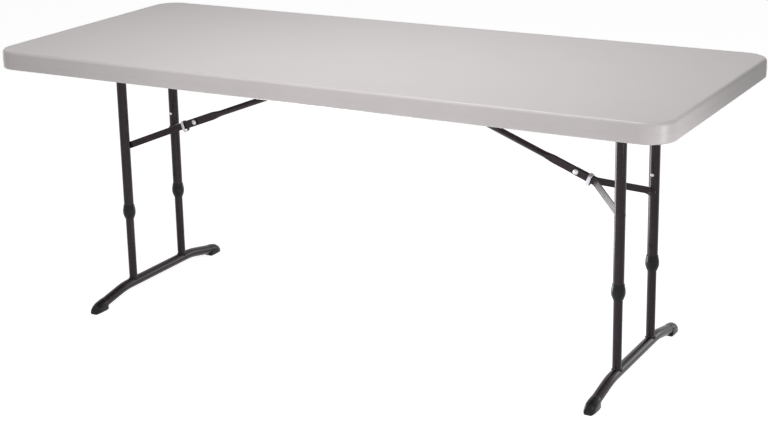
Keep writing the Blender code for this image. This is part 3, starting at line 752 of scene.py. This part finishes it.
def dress_upper_leg(side, end, ey):
    """One upper leg with its button holes, and the collar on its lower end. Returns its axis and radius."""
    node = f"upper_leg_{end}_{side}"
    low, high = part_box(node)
    at = Vector(((low.x + high.x) / 2, (low.y + high.y) / 2, 0))
    radius = (high.x - low.x) / 2
    mesh = tube(node, radius, LEG_WALL, low.z, high.z)
    settings = [0, *JOINTS[f"height_slide_{side}"]["range_m"]]
    holes = [button_hole(ey, radius, button_height(side, end) + step) for step in settings]
    stand_for(node, combined(mesh, rods(f"{node}_holes", holes)), "painted_steel", at)
    dress_collar(f"leg_collar_{end}_{side}", at, radius, low.z)
    return at, radius


def dress_collar(node, at, leg_radius, leg_end):
    """A barrel-shaped collar round an upper leg's end."""
    low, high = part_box(node)
    radius = (high.x - low.x) / 2
    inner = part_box(node.replace("leg_collar", "inner_leg"))
    guide = (inner[1].x - inner[0].x) / 2 + RUNNING_GAP
    bore = leg_radius + GAP
    belly, shoulder = low.z + COLLAR_BELLY, high.z - COLLAR_SHOULDER
    outline = [(guide + COLLAR_LIP, low.z), (radius, belly), (radius, shoulder), (bore + COLLAR_LIP, high.z)]
    profile = [tuple(point) for point in rounded(outline, COLLAR_ROUND, ROUND_STEPS)]
    profile += [(bore, high.z), (bore, leg_end - GAP), (guide, leg_end - GAP), (guide, low.z)]
    stand_for(node, turned(node, profile, TUBE_SIDES, cyclic=True), "black_plastic", at)


def foot_route(reach):
    """The foot's route from its front end to its rear one: distance from the middle, height and slope."""
    half = []
    for slope in spaced_turns(FOOT_SLOPE, ROUND_STEPS, with_last=True):
        drop = FOOT_BEND_RADIUS * (1 - math.cos(slope))
        half.append((FOOT_FLAT + FOOT_BEND_RADIUS * math.sin(slope), -drop, slope))
    bend_y, bend_z, slope = half[-1]
    half.append((reach, bend_z - (reach - bend_y) * math.tan(slope), slope))
    return [(-y, z, -slope) for y, z, slope in reversed(half)] + half


def foot_loops(radius, reach, height):
    """Circles along the whole foot."""
    loops = []
    for y, drop, slope in foot_route(reach):
        up = Vector((0, math.sin(slope), math.cos(slope)))
        loops.append(circle(radius, TUBE_SIDES, (0, y, height + drop), X_AXIS, up))
    return loops


def dress_foot(side):
    """The arched foot tube with its caps, and the inner legs welded onto it."""
    node = f"foot_{side}"
    low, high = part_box(node)
    at = Vector(((low.x + high.x) / 2, 0, 0))
    radius = (high.x - low.x) / 2
    height = high.z - radius
    reach = high.y - radius * math.sin(FOOT_SLOPE)
    inside = foot_loops(radius - FOOT_WALL, reach, height)[::-1]
    mesh = lofted(node, foot_loops(radius, reach, height) + inside, cyclic=True)
    stand_for(node, mesh, "painted_steel", at)
    core = lofted(f"{node}_core", foot_loops(radius + GAP, reach + GAP, height))
    for end, ey in ENDS.items():
        dress_cap(f"foot_cap_{end}_{side}", ey, at, height, core)
        dress_inner_leg(side, end, ey, radius, height)


def dress_cap(node, ey, at, height, core):
    """A hoof-shaped cap: a flat grooved sole, a heel that tapers onto the tube, a toe that rounds down."""
    low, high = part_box(node)
    heel, toe = sorted((abs(low.y), abs(high.y)))
    body = (high.x - low.x) / 2
    _, drop, slope = foot_route(toe)[-1]
    stations = [(heel, body - CAP_TAPER, 1), (heel + CAP_TAPER_LENGTH, body, 1)]
    for a in spaced_turns(math.pi / 2, ROUND_STEPS, with_last=True):
        stations.append((toe - CAP_TOE_LENGTH * (1 - math.sin(a)), body, math.cos(a)))
    loops = []
    for y, half_width, fullness in stations:
        middle = height + drop + (toe - y) * math.tan(slope)
        top = middle + half_width
        rise = (CAP_TOE_HEIGHT + (top - CAP_TOE_HEIGHT) * fullness) / top
        spread = (CAP_TOE_WIDTH + (2 * body - CAP_TOE_WIDTH) * fullness) / (2 * body)
        arch = circle(half_width, TUBE_SIDES)[:TUBE_SIDES // 2 + 1]
        section = [(half_width, CAP_CHAMFER)] + [(point.x, middle + point.y) for point in arch]
        section += [(-half_width, CAP_CHAMFER), (CAP_CHAMFER - half_width, 0), (half_width - CAP_CHAMFER, 0)]
        loops.append([Vector((spread * x, ey * y, rise * z)) for x, z in section])
    mesh = combined(lofted(node, loops, softness=CAP_SOFTNESS), core)
    centre = (heel + toe) / 2
    for k in range(CAP_GROOVES):
        y = ey * (centre + (k - (CAP_GROOVES - 1) / 2) * CAP_GROOVE_PITCH)
        mesh = combined(mesh, rods("groove", [(Vector((0, y, 0)), X_AXIS, CAP_GROOVE, 2 * body)]))
    stand_for(node, mesh, "black_plastic", at)


def dress_inner_leg(side, end, ey, foot_radius, foot_height):
    """One inner leg, coped and welded to the foot, and the snap clip inside it."""
    node = f"inner_leg_{end}_{side}"
    low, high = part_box(node)
    at = Vector(((low.x + high.x) / 2, (low.y + high.y) / 2, 0))
    radius = (high.x - low.x) / 2
    bore = radius - LEG_WALL
    mesh = tube(node, radius, LEG_WALL, foot_height, high.z)
    button = button_height(side, end)
    mesh = combined(mesh, rods(f"{node}_hole", [button_hole(ey, radius, button)]))
    cope = rods(f"{node}_cope", [(Z_AXIS * foot_height, Y_AXIS, foot_radius + GAP, 2 * radius)])
    stand_for(node, combined(mesh, cope), "painted_steel", at)
    points = []
    for a in spaced_turns(2 * math.pi, WELD_STEPS):
        x, y = radius * math.cos(a), radius * math.sin(a)
        points.append(at + Vector((x, y, foot_height + math.sqrt(foot_radius**2 - x**2))))
    weld_bead(f"foot_weld_{end}_{side}", points, node)
    dress_clip(side, end, ey, at + Z_AXIS * button, bore)


def dress_clip(side, end, ey, at, bore):
    """A hairpin spring in the inner leg, with the round button that shows through both tubes."""
    node = f"snap_clip_{end}_{side}"
    low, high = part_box(node)
    tip = abs(at.y) - min(abs(low.y), abs(high.y))
    run = math.sqrt(bore**2 - (CLIP_WIDTH / 2) ** 2) - RUNNING_GAP - CLIP_SHEET / 2
    turns = spaced_turns(math.pi / 2, ROUND_STEPS)
    crown = [(BUTTON_RADIUS - BUTTON_ROUND * (1 - math.cos(a)), tip - BUTTON_ROUND * (1 - math.sin(a)))
             for a in turns]
    button = turned(node, [(BUTTON_RADIUS, run - CLIP_SHEET)] + crown)
    button.transform(Matrix.Rotation(ey * math.pi / 2, 4, "X"))
    half_turns = spaced_turns(math.pi, SMALL_SIDES, with_last=True)
    route = [(run, CLIP_WIDTH, 0)]
    route += [(run * math.cos(a), run - CLIP_LENGTH - run * math.sin(a), a) for a in half_turns]
    route.append((-run, -CLIP_WIDTH, math.pi))
    loops = []
    for v, z, a in route:
        loop = []
        for x, out in CORNERS:
            shift = out * CLIP_SHEET / 2
            y = -ey * (v + shift * math.cos(a))
            loop.append(Vector((x * CLIP_WIDTH / 2, y, z - shift * math.sin(a))))
        loops.append(loop)
    mesh = combined(button, lofted("hairpin", loops), "UNION")
    arm = Y_AXIS * (ey * (run - CLIP_SHEET))
    stand_for(node, mesh, "spring_steel", at, bend=(f"inner_leg_{end}_{side}", at + arm, at - arm))


def brace_section(along, half_thickness, radius, way, up):
    """Points round the brace tube where it is pressed flat to a thickness."""
    rise = math.pi / 2 * (radius - half_thickness)
    points = []
    for k in range(TUBE_SIDES):
        a = 2 * math.pi * (k + 0.5) / TUBE_SIDES
        height = half_thickness * math.sin(a) + math.copysign(rise, math.sin(a))
        points.append(way * along + up * height + Y_AXIS * (half_thickness * math.cos(a)))
    return points


def dress_brace(side):
    """The brace of one frame: a tube pressed flat at its lower end, its rivets, links and lock ring."""
    pin = Vector(JOINTS[f"brace_swing_{side}"]["pos_m"])
    rivet = Vector(JOINTS[f"link_swing_{side}"]["pos_m"])
    length = (rivet - pin).length
    way = (rivet - pin).normalized()
    up = Vector((abs(way.z) * math.copysign(1, way.x), 0, abs(way.x)))
    flat_from = length - FLAT_ABOVE_RIVET
    round_to = flat_from - FLATTEN_LENGTH
    bore = BRACE_RADIUS - BRACE_WALL
    loops = [brace_section(along, bore, bore, way, up) for along in (round_to, -BRACE_END_MARGIN)]
    loops.append(brace_section(-BRACE_END_MARGIN, BRACE_RADIUS, BRACE_RADIUS, way, up))
    for step in range(FLATTEN_STEPS + 1):
        share = step / FLATTEN_STEPS
        ease = share * share * (3 - 2 * share)
        half = BRACE_RADIUS + (FLAT_THICKNESS / 2 - BRACE_RADIUS) * ease
        loops.append(brace_section(round_to + FLATTEN_LENGTH * share, half, BRACE_RADIUS, way, up))
    end = length + FLAT_BELOW_RIVET
    loops.append(brace_section(end - EDGE_SOFTNESS, FLAT_THICKNESS / 2, BRACE_RADIUS, way, up))
    slim = FLAT_THICKNESS / 2 - EDGE_SOFTNESS
    loops.append(brace_section(end, slim, BRACE_RADIUS - EDGE_SOFTNESS, way, up))
    node = f"brace_{side}"
    holes = [(Vector(), Y_AXIS, PIN_RADIUS + RUNNING_GAP, 2 * BRACE_RADIUS),
             (rivet - pin, Y_AXIS, RIVET_RADIUS + GAP, FLAT_THICKNESS)]
    stand_for(node, combined(lofted(node, loops), rods(f"{node}_holes", holes)), "painted_steel", pin)
    riveted_pin(f"brace_pin_{side}", PIN_RADIUS, PIN_HEAD_HEIGHT)
    riveted_pin(f"brace_rivet_{side}", RIVET_RADIUS, RIVET_HEAD_HEIGHT)
    for end_name, ey in ENDS.items():
        dress_link(side, end_name, ey, rivet, way, up)
    dress_ring(side, way, up)


def dress_link(side, end, ey, rivet, way, up):
    """One flat link bar with round ends and soft edges, and the rivet in its tab."""
    node, rivet_node = f"link_{end}_{side}", f"link_rivet_{end}_{side}"
    rivet_low, rivet_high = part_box(rivet_node)
    tab_rivet = (rivet_low + rivet_high) / 2
    length = (Vector((tab_rivet.x, 0, tab_rivet.z)) - Vector((rivet.x, 0, rivet.z))).length
    radius = LINK_BAR / 2
    stem_y = FLAT_THICKNESS / 2 + GAP + LINK_SHEET / 2
    tab_outside = max(abs(rivet_low.y), abs(rivet_high.y))
    tab_y = tab_outside - LINK_SHEET / 2
    route = rounded([(0, stem_y), (LINK_STEM, stem_y), (length - LINK_TAB, tab_y), (length, tab_y)],
                    LINK_BEND_RADIUS, ROUND_STEPS)
    turns = spaced_turns(math.pi / 2, ROUND_STEPS)
    ends = [(radius * math.sin(a), radius * math.cos(a)) for a in turns]
    stations = [(Vector((-past, stem_y)), half) for past, half in reversed(ends)]
    stations += [(point, radius) for point in route[1:-1]]
    stations += [(Vector((length + past, tab_y)), half) for past, half in ends]
    across_bar = steps_across([place for place, _ in stations], LINK_SHEET / 2)
    loops = []
    for (place, half), across in zip(stations, across_bar):
        loop = []
        for out, rise in CORNERS:
            point = place + across * out
            loop.append(way * point.x + up * (rise * half) + Y_AXIS * (ey * point.y))
        loops.append(loop)
    tab = way * length + Y_AXIS * (ey * tab_outside)
    holes = [(Y_AXIS * (ey * stem_y), Y_AXIS, RIVET_RADIUS + RUNNING_GAP, LINK_SHEET),
             (tab, Y_AXIS, RIVET_RADIUS + GAP, 2 * LINK_SHEET)]
    mesh = combined(lofted(node, loops, softness=EDGE_SOFTNESS), rods(f"{node}_holes", holes))
    stand_for(node, mesh, "painted_steel", rivet)
    seat = -LINK_SHEET - GAP
    head = head_profile((rivet_high.x - rivet_low.x) / 2, RIVET_HEAD_HEIGHT, seat)
    mesh = turned(rivet_node, head + [(RIVET_RADIUS, seat), (RIVET_RADIUS, 0)])
    stand_for(rivet_node, mesh, "painted_steel", rivet + tab, (-ey * math.pi / 2, 0, 0))


def dress_ring(side, way, up):
    """The lock ring: a closed oval band with rounded edges that slides on the brace."""
    node = f"lock_ring_{side}"
    low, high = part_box(node)
    half_width = (high.y - low.y) / 2 - RING_SHEET
    corners = [vertex.co for vertex in frame["nodes"][node].data.vertices]
    rises = [corner.dot(up) for corner in corners]
    alongs = [corner.dot(way) for corner in corners]
    half_height = (max(rises) - min(rises)) / 2 - RING_SHEET
    edge = (max(alongs) - min(alongs)) / 2
    middle = up * ((max(rises) + min(rises)) / 2) + way * ((max(alongs) + min(alongs)) / 2)
    soft = RING_SHEET / 2
    turns = spaced_turns(math.pi, 2 * ROUND_STEPS, with_last=True)
    crown = [(soft - soft * math.cos(a), edge - soft + soft * math.sin(a)) for a in turns]
    band = crown + [(out, -along) for out, along in reversed(crown)]
    loops = []
    for out, along in band:
        outline = rounded_rectangle(
            half_width + out, half_height + out, RING_CORNER_RADIUS + out, ROUND_STEPS)
        loops.append([way * along + Y_AXIS * y + up * h for y, h in outline])
    stand_for(node, lofted(node, loops, cyclic=True), "zinc_plate", middle)


def seen_rays(tree):
    """A value of 1 for rays that see the surroundings, straight or in a reflection, and 0 for their light."""
    path = tree.nodes.new("ShaderNodeLightPath")
    value = path.outputs["Is Camera Ray"]
    for kind in ("Is Glossy Ray", "Is Transmission Ray"):
        either = tree.nodes.new("ShaderNodeMath")
        either.operation = "MAXIMUM"
        tree.links.new(value, either.inputs[0])
        tree.links.new(path.outputs[kind], either.inputs[1])
        value = either.outputs["Value"]
    return value


def add_floor():
    """A pale floor that keeps the table's shadow and meets a white background."""
    bm = bmesh.new()
    bmesh.ops.create_grid(bm, x_segments=1, y_segments=1, size=FLOOR_SIZE / 2)
    floor = bpy.data.objects.new("floor", finish_mesh("floor", bm))
    bpy.context.scene.collection.objects.link(floor)
    floor.location.z = -FLOOR_DROP
    material = bpy.data.materials.new("floor_paper")
    material.use_nodes = True
    nodes, links = material.node_tree.nodes, material.node_tree.links
    shader = nodes["Principled BSDF"]
    shader.inputs["Base Color"].default_value = (*FLOOR_COLOUR, 1)
    shader.inputs["Roughness"].default_value = 1.0
    shader.inputs["Specular IOR Level"].default_value = 0.0
    shader.inputs["Emission Color"].default_value = (1, 1, 1, 1)
    seen = seen_rays(material.node_tree)
    glow = nodes.new("ShaderNodeMath")
    glow.operation = "MULTIPLY"
    glow.inputs[1].default_value = FLOOR_GLOW
    links.new(seen, glow.inputs[0])
    links.new(glow.outputs["Value"], shader.inputs["Emission Strength"])
    floor.data.materials.append(material)


def add_world():
    """White all round to look at, and an even soft light on the table."""
    world = bpy.data.worlds.new("studio")
    world.use_nodes = True
    nodes, links = world.node_tree.nodes, world.node_tree.links
    background = nodes["Background"]
    background.inputs["Color"].default_value = (1, 1, 1, 1)
    strength = nodes.new("ShaderNodeMix")
    seen = seen_rays(world.node_tree)
    links.new(seen, strength.inputs["Factor"])
    strength.inputs["A"].default_value = AMBIENT
    strength.inputs["B"].default_value = 1.0
    links.new(strength.outputs["Result"], background.inputs["Strength"])
    bpy.context.scene.world = world


def add_softbox(name, at, aim, width, height, power, spread=math.pi, mirrored=True):
    """A soft rectangular lamp that the camera doesn't see, and that shows in reflections if mirrored."""
    lamp = bpy.data.lights.new(name, "AREA")
    lamp.shape = "RECTANGLE"
    lamp.size = width
    lamp.size_y = height
    lamp.energy = power
    lamp.spread = spread
    box = bpy.data.objects.new(name, lamp)
    bpy.context.scene.collection.objects.link(box)
    box.location = at
    box.rotation_euler = (Vector(aim) - Vector(at)).to_track_quat("-Z", "Y").to_euler()
    box.visible_camera = False
    box.visible_glossy = mirrored


def add_lights():
    """Soft lamps over the top, at its front rim and right corner, and low down for the legs and feet."""
    add_softbox("overhead_softbox", at=(0.1, -0.2, 2.2), aim=(0.1, -0.2, 0.7),
                width=0.9, height=0.7, power=18)
    add_softbox("front_softbox", at=(0.2, -1.98, 0.9), aim=(0.2, -0.38, 0.7),
                width=0.9, height=0.5, power=17.2, mirrored=False)
    add_softbox("corner_softbox", at=(1.34, -0.44, 0.62), aim=(0.91, -0.33, 0.68),
                width=0.08, height=0.4, power=1.55)
    add_softbox("left_softbox", at=(-3.2, 0.9, 0.5), aim=(0.6, 0.0, 0.45),
                width=1.5, height=1.2, power=12)
    add_softbox("low_softbox", at=(-0.25, -0.1, 0.21), aim=(0.66, -0.06, 0.45),
                width=0.55, height=0.4, power=6.5)
    add_softbox("right_foot_softbox", at=(1.28, 1.0, 0.28), aim=(0.712, -0.02, 0.03),
                width=0.6, height=0.5, power=0.26, spread=FOOT_LAMP_SPREAD)
    add_softbox("left_foot_softbox", at=(0.05, 0.95, 0.28), aim=(-0.712, 0.0, 0.03),
                width=0.7, height=0.5, power=0.30, spread=FOOT_LAMP_SPREAD)


def add_camera():
    """The camera, at the photograph's place."""
    lens = bpy.data.cameras.new("camera")
    lens.lens = CAMERA_LENS
    lens.sensor_width = CAMERA_SENSOR
    lens.sensor_fit = "HORIZONTAL"
    lens.shift_y = CAMERA_SHIFT
    camera = bpy.data.objects.new("camera", lens)
    bpy.context.scene.collection.objects.link(camera)
    level = (CAMERA_AIM - CAMERA_AT).to_track_quat("-Z", "Y").to_matrix()
    camera.location = CAMERA_AT
    camera.rotation_euler = (level @ Matrix.Rotation(CAMERA_ROLL, 3, "Z")).to_euler()
    bpy.context.scene.camera = camera


FINISHES = {
    "moulded_plastic": moulded_plastic(),
    "painted_steel": painted_steel(),
    "zinc_plate": zinc_plate(),
    "black_plastic": black_plastic(),
    "spring_steel": spring_steel(),
}
dress_top()
for rail_end, rail_way in ENDS.items():
    dress_rail(rail_end, rail_way)
dress_bracket()
dress_screws()
for frame_side, frame_way in SIDES.items():
    dress_leg_frame(frame_side, frame_way)
    dress_foot(frame_side)
    dress_brace(frame_side)
add_floor()
add_world()
add_lights()
add_camera()
bpy.context.scene.view_settings.view_transform = "Standard"
